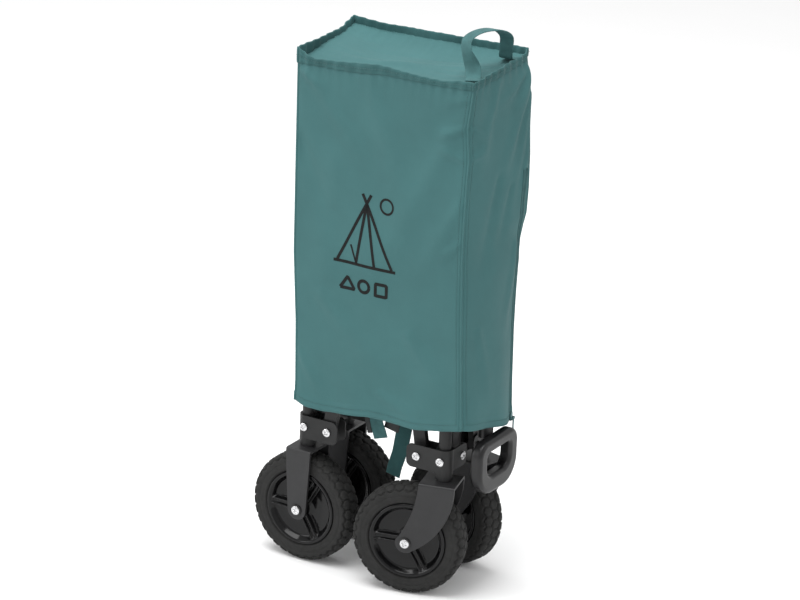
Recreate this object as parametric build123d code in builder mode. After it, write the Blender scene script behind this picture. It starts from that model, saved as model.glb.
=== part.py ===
"""Folding camp wagon, folded upright and standing on its four wheels under its storage cover.

+X points to the pull handle and the caster wheels, +Z is up, and the origin lies on the ground
under the middle of the folded bundle. "Left" is the +Y side. Units are millimetres.
"""
from build123d import *
import os
from math import asin, atan2, cos, degrees, hypot, radians, sin

os.makedirs("parts", exist_ok=True)

# ---- driving dimensions ------------------------------------------------------------------
wheel_radius = 85.0
wheel_width = 40.0
rear_x = -102.0             # corner posts above the fixed wheels
front_x = 132.0             # corner posts above the casters
post_y = 54.0
pivot_z = 214.0             # lower pivots of every scissor bar
lower_arm = 270.0           # side bar, end pivot to crossing
upper_arm = 212.0           # side bar, crossing to the middle pivot
side_offset = 40.0          # post centre to side pivot, along X
end_offset = 30.0           # post centre to end pivot, along Y
unfolded_lean = 58.0        # side bars from vertical when the wagon is open
caster_trail = 47.0
caster_yaw = 14.0           # how far the casters stand turned at rest
cover_top = 790.0
cover_hem = 250.0

# ---- scissor geometry worked out from them -----------------------------------------------
side_lean = degrees(asin((front_x - rear_x - 2 * side_offset) / (2 * (lower_arm + upper_arm))))
top_z = pivot_z + 2 * lower_arm * cos(radians(side_lean))
middle_x = (rear_x + front_x) / 2
end_run = 2 * post_y - 2 * end_offset
end_rise = top_z - pivot_z
end_bar = hypot(end_run, end_rise)
end_lean = degrees(atan2(end_run, end_rise))
open_drop = top_z - pivot_z - 2 * lower_arm * cos(radians(unfolded_lean))

# ---- sections, walls and clearances ------------------------------------------------------
post_radius = 9.5
leg_radius = 8.0
tube_wall = 1.2
slide_gap = 0.3
bar_width = 20.0
bar_depth = 9.4
end_bar_width = 18.0
end_bar_depth = 8.6
side_plane = 5.3            # side bars lie this far each side of the post centres
end_plane = 4.7
pin_radius = 4.0
pin_hole = 4.3
plate = 2.5
side_cheek = 10.6           # inner faces of the side cheeks, from the post centre
end_cheek = 9.6
sleeve_radius = side_cheek + plate
bracket_height = 36.0
post_bottom = 186.0
plug_floor = 1.5            # the foot plug's rim, under the post's end
plug_height = 3.0
post_top = 481.0

corners = {
    "rear_left": (rear_x, post_y),
    "rear_right": (rear_x, -post_y),
    "front_left": (front_x, post_y),
    "front_right": (front_x, -post_y),
}


def inward(value, middle=0.0):
    """+1 or -1, pointing from a corner towards the middle of the wagon."""
    return 1 if value < middle else -1


def save(shape, name):
    """Name a finished piece and write it to its own STEP file."""
    shape.label = name
    export_step(shape, f"parts/{name}.step")


def tube(radius, wall, low, high, x, y):
    """An upright round tube between two heights."""
    with BuildPart() as piece:
        with BuildSketch(Plane.XY.offset(low)):
            with Locations((x, y)):
                Circle(radius)
                Circle(radius - wall, mode=Mode.SUBTRACT)
        extrude(amount=high - low)
    return piece


# ---- corner posts and the telescopic legs inside them ------------------------------------
leg_bottom = post_bottom + plug_height + 1.0 + open_drop
leg_top = top_z + bracket_height / 2
for corner, (x, y) in corners.items():
    save(tube(post_radius, tube_wall, post_bottom + plug_floor, post_top, x, y).part, f"post_{corner}")
    save(tube(leg_radius, tube_wall, leg_bottom, leg_top, x, y).part, f"inner_leg_{corner}")


# ---- corner brackets: a sleeve on the tube, two side cheeks and two end cheeks ------------
cheek_reach = side_offset + 17.0
lug_reach = end_offset + 14.0
slot_rise = 9.2             # play of the end bars' upper pins in their slots


def corner_bracket(x, y, centre_z, bore, upper):
    """Pressed steel bracket that holds one side bar and one end bar; upper ones have slots."""
    to_mid_x = inward(x, middle_x)
    to_mid_y = inward(y)
    low = centre_z - bracket_height / 2
    with BuildPart() as piece:
        with BuildSketch(Plane.XY.offset(low)):
            with Locations((x, y)):
                Circle(sleeve_radius)
        extrude(amount=bracket_height)
        for sign in (-1, 1):
            cheek_y = y + sign * (side_cheek + plate / 2)
            with BuildSketch(Plane.XZ.offset(-cheek_y)) as cheek:
                with Locations((x + to_mid_x * cheek_reach / 2, centre_z)):
                    Rectangle(cheek_reach, bracket_height)
                outer = cheek.vertices().sort_by(Axis.X)
                fillet(outer[-2:] if to_mid_x > 0 else outer[:2], 9)
                with Locations((x + to_mid_x * side_offset, centre_z)):
                    Circle(pin_hole, mode=Mode.SUBTRACT)
            extrude(amount=plate / 2, both=True)
        for sign in (-1, 1):
            lug_x = x + sign * (end_cheek + plate / 2)
            with BuildSketch(Plane.YZ.offset(lug_x)) as lug:
                with Locations((y + to_mid_y * lug_reach / 2, centre_z)):
                    Rectangle(lug_reach, bracket_height - 2)
                outer = lug.vertices().sort_by(Axis.X)
                fillet(outer[-2:] if to_mid_y > 0 else outer[:2], 9)
                with Locations((y + to_mid_y * end_offset, centre_z + (slot_rise / 2 if upper else 0))):
                    if upper:
                        SlotCenterToCenter(slot_rise, 2 * pin_hole + 0.2, rotation=90, mode=Mode.SUBTRACT)
                    else:
                        Circle(pin_hole, mode=Mode.SUBTRACT)
            extrude(amount=plate / 2, both=True)
        with BuildSketch(Plane.XY.offset(low)):
            with Locations((x, y)):
                Circle(bore)
        extrude(amount=bracket_height, mode=Mode.SUBTRACT)
    return piece


def bolt(radius, head_radius, head, start, end, point, along):
    """A bolt or rivet with a domed head at each end, along the X or the Y axis."""
    plane = Plane(origin=point, z_dir=along)
    with BuildPart() as piece:
        with BuildSketch(plane.offset(start)):
            Circle(radius)
        extrude(amount=end - start)
        for height, sign in ((start, -1), (end, 1)):
            with BuildSketch(plane.offset(height)):
                Circle(head_radius)
            extrude(amount=sign * head)
            rim = piece.faces().sort_by(Axis(point, along))[-1 if sign > 0 else 0].edges()
            fillet(rim, head * 0.45)
    return piece


bolt_head = 3.6
for corner, (x, y) in corners.items():
    to_mid_x = inward(x, middle_x)
    to_mid_y = inward(y)
    foot = corner_bracket(x, y, pivot_z, post_radius, upper=False)
    with BuildPart() as plug:
        add(foot.part)
        with BuildSketch(Plane.XY.offset(post_bottom)):
            with Locations((x, y)):
                Circle(sleeve_radius)
                Circle(post_radius, mode=Mode.SUBTRACT)
        extrude(amount=pivot_z - bracket_height / 2 - post_bottom)
        for radius, height in ((post_radius, plug_floor), (post_radius - tube_wall, plug_height)):
            with BuildSketch(Plane.XY.offset(post_bottom)):
                with Locations((x, y)):
                    Circle(radius)
                    Circle(pin_hole, mode=Mode.SUBTRACT)
            extrude(amount=height)
    save(plug.part, f"lower_bracket_{corner}")

    side_bolt = bolt(pin_radius, 6.4, bolt_head, -sleeve_radius, sleeve_radius,
                     (x + to_mid_x * side_offset, y, pivot_z), (0, 1, 0))
    end_reach = end_cheek + plate
    end_bolt = bolt(pin_radius, 6.4, bolt_head, -end_reach, end_reach,
                    (x, y + to_mid_y * end_offset, pivot_z), (1, 0, 0))
    with BuildPart() as post_bolt:
        outside = Plane(origin=(x, y - to_mid_y * sleeve_radius, pivot_z), z_dir=(0, -to_mid_y, 0))
        with BuildSketch(outside):
            Circle(6.4)
        extrude(amount=bolt_head)
        fillet(post_bolt.faces().sort_by(Axis((x, y, pivot_z), (0, -to_mid_y, 0)))[-1].edges(), 1.6)
    save(Compound([side_bolt.part, end_bolt.part, post_bolt.part]), f"corner_bolts_{corner}")

    head = corner_bracket(x, y, top_z, leg_radius, upper=True)
    with BuildPart() as cap:
        add(head.part)
        with BuildSketch(Plane.XY.offset(leg_top)):
            with Locations((x, y)):
                Circle(sleeve_radius)
        extrude(amount=3)
        fillet(cap.faces().sort_by(Axis.Z)[-1].edges(), 1.5)
        pivot = Plane(origin=(x + to_mid_x * side_offset, y, top_z), z_dir=(0, 1, 0))
        with BuildSketch(pivot.offset(-sleeve_radius)):
            Circle(pin_radius)
        extrude(amount=2 * sleeve_radius)
        for height in (-sleeve_radius - 2, sleeve_radius - plate):
            with BuildSketch(pivot.offset(height)):
                Circle(6.4)
            extrude(amount=plate + 2)
    save(cap.part, f"top_bracket_{corner}")


# ---- scissor bars: flat-oval tubes, riveted where they cross ------------------------------
def bar(plane, start, end, width, depth, pins, holes):
    """A flat-oval tube in a plane, with rivets that stand out of it and holes for others'."""
    start, end = Vector(*start), Vector(*end)
    along = end - start
    middle = (start + end) / 2
    turn = degrees(atan2(along.Y, along.X))
    with BuildPart() as piece:
        with BuildSketch(plane):
            with Locations((middle.X, middle.Y)):
                SlotCenterToCenter(along.length, width, rotation=turn)
        extrude(amount=depth / 2, both=True)
        with BuildSketch(plane):
            with Locations((middle.X, middle.Y)):
                SlotCenterToCenter(along.length, width - 3 * tube_wall, rotation=turn)
        extrude(amount=depth / 2 - tube_wall, both=True, mode=Mode.SUBTRACT)
        for point in holes:
            with BuildSketch(plane):
                with Locations(point):
                    Circle(pin_hole + tube_wall)
            extrude(amount=depth / 2, both=True)
            with BuildSketch(plane):
                with Locations(point):
                    Circle(pin_hole)
            extrude(amount=depth / 2, both=True, mode=Mode.SUBTRACT)
        for point, low, high in pins:
            with BuildSketch(plane.offset(low)):
                with Locations(point):
                    Circle(pin_radius)
            extrude(amount=high - low)
            for height in (low, high - rivet_head):
                with BuildSketch(plane.offset(height)):
                    with Locations(point):
                        Circle(6.5)
                extrude(amount=rivet_head)
    return piece


rivet_head = 2.0
lean = radians(side_lean)
rear_pivot = rear_x + side_offset
front_pivot = front_x - side_offset
rise = lower_arm * cos(lean)
run = lower_arm * sin(lean)
middle_top = (middle_x, pivot_z + (lower_arm + upper_arm) * cos(lean))
middle_low = (middle_x, pivot_z + (lower_arm - upper_arm) * cos(lean))
rear_cross = (rear_pivot + run, pivot_z + rise)
front_cross = (front_pivot - run, pivot_z + rise)
for side, sign in (("left", 1), ("right", -1)):
    # Plane.XZ looks along -Y, so a larger offset is a smaller y.
    outer = Plane.XZ.offset(-sign * (post_y + side_plane))
    inner = Plane.XZ.offset(-sign * (post_y - side_plane))
    near = side_plane + side_plane + bar_depth / 2 + rivet_head
    back = bar_depth / 2 + rivet_head
    reach = (-back, near) if sign > 0 else (-near, back)
    through = (-near, back) if sign > 0 else (-back, near)
    save(bar(outer, (rear_pivot, pivot_z), middle_top, bar_width, bar_depth,
             [(rear_cross, *reach), (middle_top, *reach)], [(rear_pivot, pivot_z)]).part,
         f"side_bar_{side}_rear_rising")
    save(bar(inner, (rear_pivot, top_z), middle_low, bar_width, bar_depth,
             [(middle_low, *through)], [(rear_pivot, top_z), rear_cross]).part,
         f"side_bar_{side}_rear_falling")
    save(bar(inner, middle_top, (front_pivot, pivot_z), bar_width, bar_depth,
             [(front_cross, *through)], [middle_top, (front_pivot, pivot_z)]).part,
         f"side_bar_{side}_front_falling")
    save(bar(outer, middle_low, (front_pivot, top_z), bar_width, bar_depth,
             [], [middle_low, front_cross, (front_pivot, top_z)]).part,
         f"side_bar_{side}_front_rising")

left_pivot = post_y - end_offset
end_cross = (0, (pivot_z + top_z) / 2)
for name, x in (("rear", rear_x), ("front", front_x)):
    upright = Plane.YZ.offset(x + end_plane)
    lying = Plane.YZ.offset(x - end_plane)
    head_reach = end_cheek + plate + rivet_head + slide_gap / 2
    cross_out = 15.5 if name == "front" else end_bar_depth / 2 + rivet_head
    save(bar(upright, (left_pivot, pivot_z), (-left_pivot, top_z), end_bar_width, end_bar_depth,
             [((-left_pivot, top_z), -head_reach - end_plane, head_reach - end_plane),
              (end_cross, -2 * end_plane - end_bar_depth / 2 - rivet_head, cross_out)],
             [(left_pivot, pivot_z)]).part, f"end_bar_{name}_from_left")
    save(bar(lying, (-left_pivot, pivot_z), (left_pivot, top_z), end_bar_width, end_bar_depth,
             [((left_pivot, top_z), -head_reach + end_plane, head_reach + end_plane)],
             [(-left_pivot, pivot_z), end_cross]).part, f"end_bar_{name}_from_right")

# ---- wheels ------------------------------------------------------------------------------
rim_radius = 58.5
axle_radius = 5.0
hub_half = 23.0
disc_depth = 9.0            # how far the dished disc lies in from the rim's edge

with BuildPart() as tyre:
    with BuildSketch(Plane.XY) as tyre_section:
        with Locations(((rim_radius + wheel_radius) / 2, 0)):
            Rectangle(wheel_radius - rim_radius, wheel_width)
        fillet(tyre_section.vertices().sort_by(Axis.X)[-2:], 11)
        fillet(tyre_section.vertices().sort_by(Axis.X)[:2], 3)
    revolve(axis=Axis.Y)

with BuildPart() as rim:
    with BuildSketch(Plane.XY):
        with BuildLine():
            Polyline(
                (axle_radius + 0.08, -hub_half), (15, -hub_half), (15, -hub_half + disc_depth + 3),
                (rim_radius - 8, -hub_half + disc_depth + 1), (rim_radius - 3.5, -wheel_width / 2 - 0.5),
                (rim_radius, -wheel_width / 2 + 1.0), (rim_radius, wheel_width / 2 - 1.0),
                (rim_radius - 3.5, wheel_width / 2 + 0.5), (rim_radius - 8, hub_half - disc_depth - 1),
                (15, hub_half - disc_depth - 3), (15, hub_half), (axle_radius + 0.08, hub_half),
                close=True,
            )
        make_face()
    revolve(axis=Axis.Y)
    with BuildSketch(Plane.XZ.offset(-hub_half + disc_depth)):
        with PolarLocations((15 + rim_radius - 8) / 2, 3, start_angle=90):
            Rectangle(rim_radius - 20, 5)
    extrude(amount=2 * (hub_half - disc_depth))

with BuildPart() as axle:
    with BuildSketch(Plane.XZ.offset(-29)):
        Circle(axle_radius)
    extrude(amount=58)
    for head_start in (-33, 28.4):
        with BuildSketch(Plane.XZ.offset(head_start)):
            Circle(8.2)
        extrude(amount=4.6)
    fillet(axle.faces().sort_by(Axis.Y)[0].edges(), 1.8)
    fillet(axle.faces().sort_by(Axis.Y)[-1].edges(), 1.8)

# ---- forks: one straight pair for the fixed wheels, one raked pair for the casters ---------
leg_inner = 24.2
leg_outer = 28.2
crown_top = post_bottom - 4.0
crown_thick = 4.0
fork_eye = 15.5             # radius of the leg's end round the axle
axle_up = wheel_radius

with BuildPart() as fixed_fork:
    with BuildSketch(Plane.XZ):
        with BuildLine():
            Line((-21, crown_top), (21, crown_top))
            Line((21, crown_top), (20, crown_top - 28))
            Line((20, crown_top - 28), (fork_eye, axle_up))
            ThreePointArc((fork_eye, axle_up), (0, axle_up - fork_eye), (-fork_eye, axle_up))
            Line((-fork_eye, axle_up), (-20, crown_top - 28))
            Line((-20, crown_top - 28), (-21, crown_top))
        make_face()
    extrude(amount=leg_outer, both=True)
    with BuildSketch(Plane.XZ):
        with Locations((0, (crown_top - crown_thick) / 2)):
            Rectangle(60, crown_top - crown_thick)
    extrude(amount=leg_inner, both=True, mode=Mode.SUBTRACT)
    fillet(fixed_fork.faces().sort_by(Axis.Z)[-1].edges().filter_by(Axis.X), 3.5)
    with BuildSketch(Plane.XZ):
        with Locations((0, axle_up)):
            Circle(axle_radius + 0.05)
    extrude(amount=leg_outer, both=True, mode=Mode.SUBTRACT)
    with BuildSketch(Plane.XY.offset(crown_top)):
        Circle(post_radius + 2)
    extrude(amount=post_bottom - crown_top)

with BuildPart() as caster_fork:
    with BuildSketch(Plane.XZ):
        with BuildLine():
            Line((-30, crown_top), (24, crown_top))
            ThreePointArc((24, crown_top), (8, 118), (-36, 74))
            ThreePointArc((-36, 74), (-caster_trail - 1, axle_up - fork_eye), (-62, 88))
            ThreePointArc((-62, 88), (-40, 131), (-30, crown_top))
        make_face()
    extrude(amount=leg_outer, both=True)
    with BuildSketch(Plane.XZ):
        with Locations((-20, (crown_top - crown_thick) / 2)):
            Rectangle(120, crown_top - crown_thick)
    extrude(amount=leg_inner, both=True, mode=Mode.SUBTRACT)
    fillet(caster_fork.faces().sort_by(Axis.Z)[-1].edges().filter_by(Axis.X), 3.5)
    with BuildSketch(Plane.XZ):
        with Locations((-caster_trail, axle_up)):
            Circle(axle_radius + 0.05)
    extrude(amount=leg_outer, both=True, mode=Mode.SUBTRACT)
    with BuildSketch(Plane.XY.offset(crown_top)):
        Circle(post_radius + 2)
    extrude(amount=post_bottom - crown_top - slide_gap)
    with BuildSketch(Plane.XY.offset(crown_top)):
        Circle(pin_radius)
    extrude(amount=post_bottom + plug_height - crown_top - 0.4)

for corner, (x, y) in corners.items():
    if x == rear_x:
        fork_place = Location((x, y, 0))
        hub = Location((x, y, axle_up))
        fork = fixed_fork
    else:
        yaw = -caster_yaw if y > 0 else caster_yaw
        fork_place = Location((x, y, 0), (0, 0, yaw))
        hub = fork_place * Location((-caster_trail, 0, axle_up))
        fork = caster_fork
    save(fork.part.moved(fork_place), f"fork_{corner}")
    save(tyre.part.moved(hub), f"tyre_{corner}")
    save(rim.part.moved(hub), f"rim_{corner}")
    save(axle.part.moved(hub), f"axle_bolt_{corner}")

# ---- pull handle: bracket on the front crossing, three tubes, D grip -----------------------
handle_x = 168.0
handle_pivot_z = end_cross[1]
bracket_face = front_x + end_plane + end_bar_depth / 2 + 0.8
cheek_gap = 10.8
with BuildPart() as handle_bracket:
    with BuildSketch(Plane.YZ.offset(bracket_face)) as back_plate:
        with Locations((0, handle_pivot_z)):
            Rectangle(2 * (cheek_gap + plate), 52)
        fillet(back_plate.vertices(), 6)
        with Locations((0, handle_pivot_z)):
            Circle(pin_hole, mode=Mode.SUBTRACT)
    extrude(amount=3)
    for sign in (-1, 1):
        with BuildSketch(Plane.XZ.offset(-sign * (cheek_gap + plate / 2))):
            with BuildLine():
                Polyline(
                    (bracket_face, handle_pivot_z - 20), (handle_x, handle_pivot_z - 9),
                    (handle_x + 8, handle_pivot_z), (handle_x, handle_pivot_z + 9),
                    (bracket_face, handle_pivot_z + 20), close=True,
                )
            make_face()
        extrude(amount=plate / 2, both=True)
    with BuildSketch(Plane.XZ.offset(-cheek_gap - plate - 2)):
        with Locations((handle_x, handle_pivot_z)):
            Circle(pin_radius)
    extrude(amount=2 * (cheek_gap + plate + 2))
save(handle_bracket.part, "handle_bracket")

outer_low = 300.0
stage_wall = 1.2
handle_radii = (10.0, 8.5, 7.0)
stage_low = (outer_low, 290.0, 258.0)
stage_high = (handle_pivot_z + 11.5, 460.0, 458.0)
for name, radius, low, high in zip(("outer", "middle", "inner"), handle_radii, stage_low, stage_high):
    with BuildPart() as stage:
        add(tube(radius, stage_wall, low, high, handle_x, 0).part)
        if name == "outer":
            with BuildSketch(Plane.XY.offset(high - 26)):
                with Locations((handle_x, 0)):
                    Circle(radius - stage_wall)
            extrude(amount=26)
            with BuildSketch(Plane.XZ):
                with Locations((handle_x, handle_pivot_z)):
                    Circle(pin_radius + 0.1)
            extrude(amount=radius + 1, both=True, mode=Mode.SUBTRACT)
            fillet(stage.faces().sort_by(Axis.Z)[-1].edges(), 3)
    save(stage.part, f"handle_tube_{name}")

grip_x = 184.0
grip_half = 56.0
grip_low = 163.5
grip_high = cover_hem - 2.0
grip_depth = 20.0
grip_arm = 23.0
grip_bar = 28.0             # height of the bottom bar, which the hand closes on
with BuildPart() as grip:
    with BuildSketch(Plane.YZ.offset(grip_x)) as loop:
        with Locations((0, (grip_low + grip_high) / 2)):
            Rectangle(2 * grip_half, grip_high - grip_low)
        fillet(loop.vertices().sort_by(Axis.Y)[:2], 40)
        fillet(loop.vertices().sort_by(Axis.Y)[-2:], 22)
    extrude(amount=grip_depth / 2, both=True)
    gap_low = grip_low + grip_bar
    gap_high = grip_high - 19.0
    with BuildSketch(Plane.YZ.offset(grip_x)) as gap:
        with Locations((0, (gap_low + gap_high) / 2)):
            Rectangle(2 * (grip_half - grip_arm), gap_high - gap_low)
        fillet(gap.vertices().sort_by(Axis.Y)[:2], 18)
        fillet(gap.vertices().sort_by(Axis.Y)[-2:], 8)
    extrude(amount=grip_depth, both=True, mode=Mode.SUBTRACT)
    fillet(grip.edges().filter_by(lambda edge: abs(edge.center().X - grip_x) > grip_depth / 2 - 0.1), 6.5)
    with BuildSketch(Plane.XY.offset(grip_high - 6)):
        with Locations((handle_x, 0)):
            Circle(11.5)
    extrude(amount=42)
    fillet(grip.faces().sort_by(Axis.Z)[-1].edges(), 2)
    with BuildSketch(Plane.XY.offset(stage_low[2])):
        with Locations((handle_x, 0)):
            Circle(handle_radii[2])
    extrude(amount=60, mode=Mode.SUBTRACT)
save(grip.part, "handle_grip")

# ---- storage cover, its zip and its carry strap --------------------------------------------
cover_wall = 2.0
cover_outline = [(-124, -76), (166, -76), (183, -16), (183, 24), (170, 76), (-124, 76)]
with BuildPart() as cover:
    with BuildSketch(Plane.XY.offset(cover_hem)) as cover_section:
        with BuildLine():
            Polyline(*cover_outline, close=True)
        make_face()
        fillet(cover_section.vertices(), 5)
    extrude(amount=cover_top - cover_hem)
    offset(amount=-cover_wall, openings=cover.faces().sort_by(Axis.Z)[0], kind=Kind.INTERSECTION)
save(cover.part, "storage_cover")

# The zip runs up the back half of the end panel, between the last two outline corners there.
panel_low = Vector(*cover_outline[3])
panel_high = Vector(*cover_outline[4])
panel_along = (panel_high - panel_low).normalized()
zip_at = panel_low + panel_along * 36.0
panel_out = Vector(panel_along.Y, -panel_along.X, 0)
zip_top = 626.0
zip_plane = Plane(origin=(zip_at.X, zip_at.Y, 0), x_dir=(panel_along.X, panel_along.Y, 0), z_dir=(0, 0, 1))


def on_panel(width, thick, stand, low, high):
    """An upright strip that stands a given distance proud of the end panel."""
    with BuildPart() as piece:
        with BuildSketch(zip_plane.offset(low)):
            with Locations((0, -(stand + thick / 2))):
                Rectangle(width, thick)
        extrude(amount=high - low)
    return piece


save(on_panel(20, 1.2, 0.1, cover_hem + 1, zip_top).part, "zip_tape")
tab_pin = 0.9
tab_stand = 7.0             # the pull's pin, proud of the end panel
tab_pivot = zip_at + panel_out * tab_stand
tab_axis = Plane(origin=(tab_pivot.X, tab_pivot.Y, cover_hem + 3), z_dir=(panel_along.X, panel_along.Y, 0))
with BuildPart() as slider:
    add(on_panel(9, 3.4, 1.6, cover_hem - 1, cover_hem + 12).part)
    with BuildSketch(zip_plane.offset(cover_hem + 1.2)):
        with Locations((-4.05, -6.4), (4.05, -6.4)):
            Rectangle(0.9, 3.6)
    extrude(amount=3.6)
    with BuildSketch(tab_axis):
        Circle(tab_pin)
    extrude(amount=4.2, both=True)
save(slider.part, "zip_slider")
with BuildPart() as pull:
    add(on_panel(6.5, 1.4, tab_stand - 0.7, cover_hem - 26, cover_hem + 3).part)
    with BuildSketch(tab_axis):
        Circle(1.8)
    extrude(amount=3.25, both=True)
    with BuildSketch(tab_axis):
        Circle(tab_pin + 0.12)
    extrude(amount=4, both=True, mode=Mode.SUBTRACT)
    with BuildSketch(Plane(origin=(zip_at.X, zip_at.Y, cover_hem - 21), z_dir=panel_out)):
        Circle(1.9)
    extrude(amount=12, mode=Mode.SUBTRACT)
save(pull.part, "zip_pull")

strap_width = 24.0
strap_thick = 2.6
strap_x = 148.0
strap_rise = 34.0
strap_half = 46.0
strap_base = cover_top + 0.3
with BuildPart() as carry_strap:
    with BuildSketch(Plane.YZ.offset(strap_x)):
        with BuildLine():
            ThreePointArc((-strap_half, strap_base), (0, strap_base + strap_rise), (strap_half, strap_base))
            Line((strap_half, strap_base), (strap_half - 6, strap_base))
            ThreePointArc(
                (strap_half - 6, strap_base),
                (0, strap_base + strap_rise - strap_thick), (-strap_half + 6, strap_base),
            )
            Line((-strap_half + 6, strap_base), (-strap_half, strap_base))
        make_face()
    extrude(amount=strap_width / 2, both=True)
save(carry_strap.part, "carry_strap")

# ---- folded cargo bag between the frames, and the webbing that hangs from it ---------------
bag_low = 276.0
with BuildPart() as cargo_bag:
    with Locations(((-80 + 110) / 2, 0, (bag_low + 714) / 2)):
        Box(190, 78, 714 - bag_low)
    fillet(cargo_bag.edges(), 12)
save(cargo_bag.part, "cargo_bag")

# Each strap: centre x, centre y, width, lowest point.
bag_webbing = [(14, -34, 26, 236), (40, -30, 24, 246), (46, 6, 22, 190)]
webbing = []
for x, y, width, low in bag_webbing:
    with BuildPart() as strap:
        with BuildSketch(Plane.XY.offset(low)):
            with Locations((x, y)):
                Rectangle(width, 2.4)
        extrude(amount=bag_low - 0.2 - low)
    webbing.append(strap.part)
save(Compound(webbing), "bag_webbing")
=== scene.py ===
"""Folding camp wagon, folded upright under its cover. Metres; mesh points are worked out in mm."""

import bmesh
import bpy
import numpy as np
from mathutils import Matrix


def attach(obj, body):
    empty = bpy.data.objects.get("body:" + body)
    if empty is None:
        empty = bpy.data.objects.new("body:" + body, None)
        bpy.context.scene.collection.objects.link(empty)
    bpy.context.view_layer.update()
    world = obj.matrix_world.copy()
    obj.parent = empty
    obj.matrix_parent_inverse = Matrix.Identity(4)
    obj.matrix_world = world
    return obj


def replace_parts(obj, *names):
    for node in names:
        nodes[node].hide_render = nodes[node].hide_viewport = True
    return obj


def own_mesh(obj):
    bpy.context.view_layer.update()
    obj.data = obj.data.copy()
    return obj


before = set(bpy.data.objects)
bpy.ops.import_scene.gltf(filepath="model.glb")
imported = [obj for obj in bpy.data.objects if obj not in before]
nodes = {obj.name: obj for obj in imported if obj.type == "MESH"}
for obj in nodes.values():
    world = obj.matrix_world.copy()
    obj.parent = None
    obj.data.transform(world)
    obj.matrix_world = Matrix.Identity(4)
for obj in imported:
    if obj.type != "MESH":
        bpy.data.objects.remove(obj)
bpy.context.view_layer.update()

# ---- Camera ------------------------------------------------------------------------------
# A long lens, a little above the wagon and off its right front corner, rolled two degrees.
azimuth, elevation, roll = np.radians((30.2, 20.0, 2.13))
distance = 4.932
aim = np.array((0.0157, 0.0, 0.4201))
back = np.array((
    np.sin(azimuth) * np.cos(elevation),
    -np.cos(azimuth) * np.cos(elevation),
    np.sin(elevation),
))
level = np.array((np.cos(azimuth), np.sin(azimuth), 0.0))
upright = np.cross(back, level)
placing = np.eye(4)
placing[:3, 0] = level * np.cos(roll) + upright * np.sin(roll)
placing[:3, 1] = upright * np.cos(roll) - level * np.sin(roll)
placing[:3, 2] = back
placing[:3, 3] = aim + back * distance
lens = bpy.data.cameras.new("camera")
lens.lens = 151.7
lens.sensor_width = 36.0
camera = bpy.data.objects.new("camera", lens)
bpy.context.scene.collection.objects.link(camera)
camera.matrix_world = Matrix(placing.tolist())
bpy.context.scene.camera = camera


# ---- Studio ------------------------------------------------------------------------------
# A white sweep with even daylight from all round, a broad lamp overhead and a soft one from
# the left front, so that the cover's top is the lightest side and its handle end the darkest.
def finish(name, colour, roughness, metallic=0.0, sheen=0.0, coat=0.0, specular=0.5):
    """A shader with its even values on its own sockets: colour, roughness, metal, sheen, coat, specular."""
    material = bpy.data.materials.new(name)
    material.use_nodes = True
    shader = material.node_tree.nodes["Principled BSDF"]
    shader.inputs["Base Color"].default_value = (*colour, 1.0)
    shader.inputs["Roughness"].default_value = roughness
    shader.inputs["Metallic"].default_value = metallic
    shader.inputs["Sheen Weight"].default_value = sheen
    shader.inputs["Coat Weight"].default_value = coat
    shader.inputs["Coat Roughness"].default_value = 0.08
    shader.inputs["Specular IOR Level"].default_value = specular
    return material


def texture(material, kind, coordinate="Object", **values):
    """A texture node of a kind, fed by object or UV coordinates, with its inputs set by name."""
    tree = material.node_tree
    place = tree.nodes.new("ShaderNodeTexCoord")
    made = tree.nodes.new(kind)
    for socket, value in values.items():
        made.inputs[socket.replace("_", " ")].default_value = value
    tree.links.new(place.outputs[coordinate], made.inputs["Vector"])
    return made


def mottle(material, scale, spread, low=0.35, high=0.65):
    """Cloudy colour: noise through a ramp from the base colour less a share to the base colour plus it."""
    tree = material.node_tree
    shader = tree.nodes["Principled BSDF"]
    colour = np.array(shader.inputs["Base Color"].default_value[:3])
    cloud = texture(material, "ShaderNodeTexNoise", Scale=scale, Detail=5.0, Roughness=0.6)
    ramp = tree.nodes.new("ShaderNodeValToRGB")
    ramp.color_ramp.elements[0].position = low
    ramp.color_ramp.elements[1].position = high
    ramp.color_ramp.elements[0].color = (*(colour * (1 - spread)), 1.0)
    ramp.color_ramp.elements[1].color = (*(colour * (1 + spread)), 1.0)
    tree.links.new(cloud.outputs["Fac"], ramp.inputs["Fac"])
    tree.links.new(ramp.outputs["Color"], shader.inputs["Base Color"])


def relief(material, made, strength, depth):
    """Bump from a texture's value, laid over the bump that is already there; depth is in metres."""
    tree = material.node_tree
    shader = tree.nodes["Principled BSDF"]
    bump = tree.nodes.new("ShaderNodeBump")
    bump.inputs["Strength"].default_value = strength
    bump.inputs["Distance"].default_value = depth
    if shader.inputs["Normal"].is_linked:
        tree.links.new(shader.inputs["Normal"].links[0].from_socket, bump.inputs["Normal"])
    tree.links.new(made.outputs["Fac"], bump.inputs["Height"])
    tree.links.new(bump.outputs["Normal"], shader.inputs["Normal"])


def patchy_gloss(material, scale, low, high):
    """Roughness that wanders between two values with a noise, as handled surfaces do."""
    tree = material.node_tree
    cloud = texture(material, "ShaderNodeTexNoise", Scale=scale, Detail=4.0)
    spread = tree.nodes.new("ShaderNodeMapRange")
    spread.inputs["To Min"].default_value = low
    spread.inputs["To Max"].default_value = high
    tree.links.new(cloud.outputs["Fac"], spread.inputs["Value"])
    tree.links.new(spread.outputs["Result"], tree.nodes["Principled BSDF"].inputs["Roughness"])


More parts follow.
